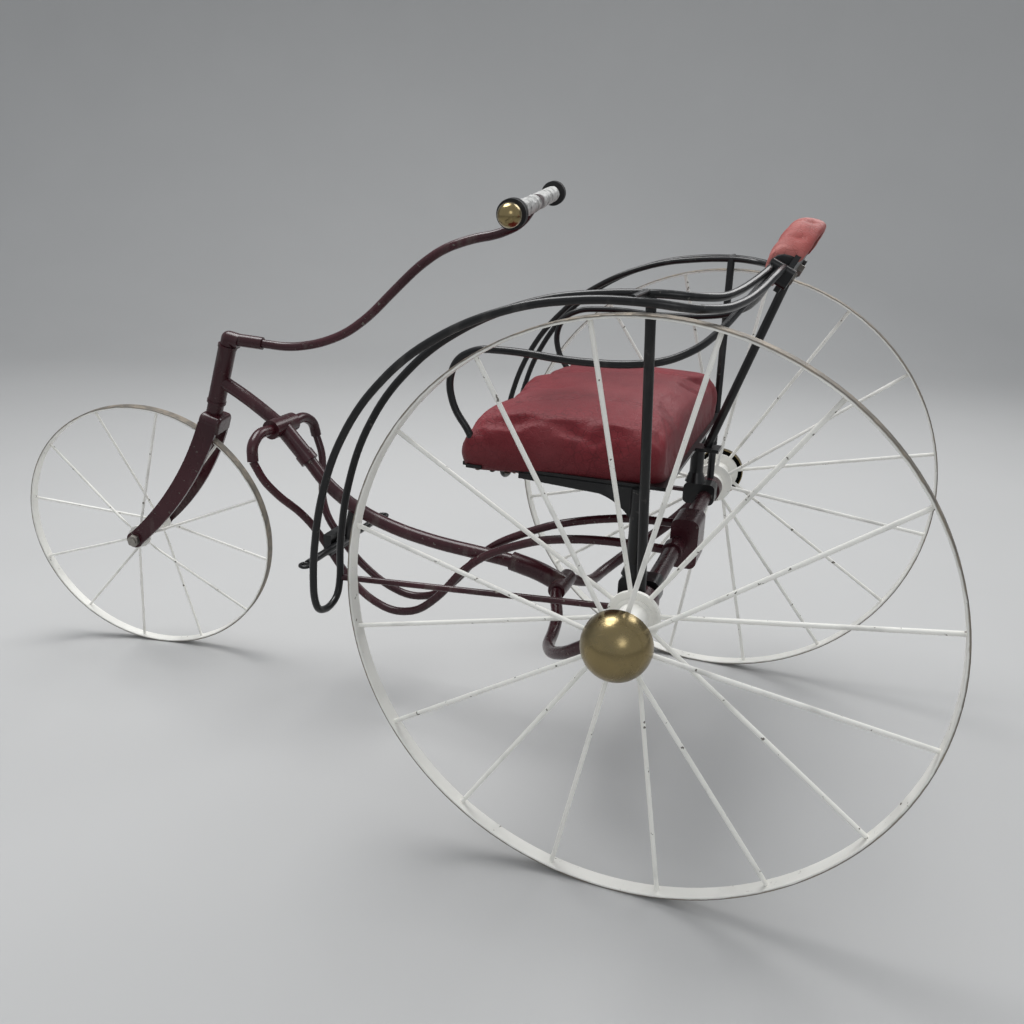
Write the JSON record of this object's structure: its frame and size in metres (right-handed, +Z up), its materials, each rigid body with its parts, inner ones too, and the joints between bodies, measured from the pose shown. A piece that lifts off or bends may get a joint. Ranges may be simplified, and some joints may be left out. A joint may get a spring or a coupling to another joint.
{
  "type": "child's tricycle",
  "caption": "Child's tiller-steered tricycle with large spoked rear wheels, rod wheel guards, a padded seat with arm rails and a small spoked steering wheel in front.",
  "frame": {"origin": "on the ground, midway along the length and on the centre line", "axes": "+Z up, forward is -X, the rider's left is -Y"},
  "size_m": [1.3087, 0.707, 0.7194],
  "materials": {
    "maroon_enamel": "gloss, chipped",
    "black_enamel": "gloss, worn",
    "cream_enamel": "satin, worn to grey steel on the treads",
    "bare_steel": "dull",
    "aged_brass": "polished, tarnished",
    "black_rubber": "matt",
    "ivory_ring": "satin",
    "wrapped_grip": "wrapped, crinkled",
    "red_leather": "worn satin",
    "faded_red_leather": "faded"
  },
  "bodies": {
    "frame": {"head_tube": "maroon_enamel", "head_cups": "maroon_enamel", "backbone_front": "maroon_enamel", "backbone_main": "maroon_enamel", "cross_boss": "maroon_enamel", "backbone_sleeve": "maroon_enamel", "rear_fitting": "maroon_enamel", "cross_elbows": "maroon_enamel", "side_rod_left": "maroon_enamel", "side_rod_right": "maroon_enamel", "rod_eyes": "maroon_enamel", "axle_shaft": "bare_steel", "axle_tube": "maroon_enamel", "axle_block": "maroon_enamel", "axle_bearings": "maroon_enamel", "axle_nuts": "bare_steel", "rear_arms": "maroon_enamel", "foot_bar": "black_enamel", "foot_hanger": "black_enamel", "foot_plate": "black_enamel", "seat_pan": "black_enamel", "seat_columns": "black_enamel", "seat_gussets": "black_enamel", "seat_cushion": "red_leather", "seat_rings": "bare_steel", "back_lugs": "black_enamel", "back_board": "black_enamel", "back_stay": "black_enamel", "back_pad": "faded_red_leather", "back_bolts": "bare_steel", "arm_rail_left": "black_enamel", "arm_rail_right": "black_enamel", "guard_left": "black_enamel", "guard_right": "black_enamel", "guard_stays": "black_enamel", "lower_stays": "maroon_enamel", "guard_clips": "black_enamel"},
    "steering": {"steerer": "maroon_enamel", "fork_crown": "maroon_enamel", "fork_blades": "maroon_enamel", "front_axle": "bare_steel", "front_axle_fittings": "bare_steel", "tiller_elbow": "maroon_enamel", "tiller": "maroon_enamel", "handle_bar": "bare_steel", "handle_grips": "wrapped_grip", "handle_collars": "black_rubber", "handle_rings": "ivory_ring", "handle_balls": "aged_brass"},
    "front_wheel": {"front_rim": "cream_enamel", "front_spokes": "cream_enamel", "front_hub": "cream_enamel"},
    "wheel_left": {"wheel_rim_left": "cream_enamel", "wheel_spokes_left": "cream_enamel", "wheel_hub_left": "cream_enamel", "wheel_dome_left": "aged_brass"},
    "wheel_right": {"wheel_rim_right": "cream_enamel", "wheel_spokes_right": "cream_enamel", "wheel_hub_right": "cream_enamel", "wheel_dome_right": "aged_brass"}
  },
  "joints": [
    {"name": "steering_turn", "type": "hinge", "parent": "frame", "child": "steering", "pos_m": [-0.30355, 0, 0.489], "axis": [0.3007, 0, 0.9537], "range_deg": [-52, 28]},
    {"name": "front_wheel_spin", "type": "hinge", "parent": "steering", "child": "front_wheel", "pos_m": [-0.46094, -0.01203, 0.19558], "axis": [-0.182, 0.9816, 0.0574], "continuous": true},
    {"name": "left_wheel_spin", "type": "hinge", "parent": "frame", "child": "wheel_left", "pos_m": [0.34945, -0.281, 0.305], "axis": [0, 1, 0], "continuous": true},
    {"name": "right_wheel_spin", "type": "hinge", "parent": "frame", "child": "wheel_right", "pos_m": [0.34945, 0.281, 0.305], "axis": [0, 1, 0], "continuous": true}
  ]
}
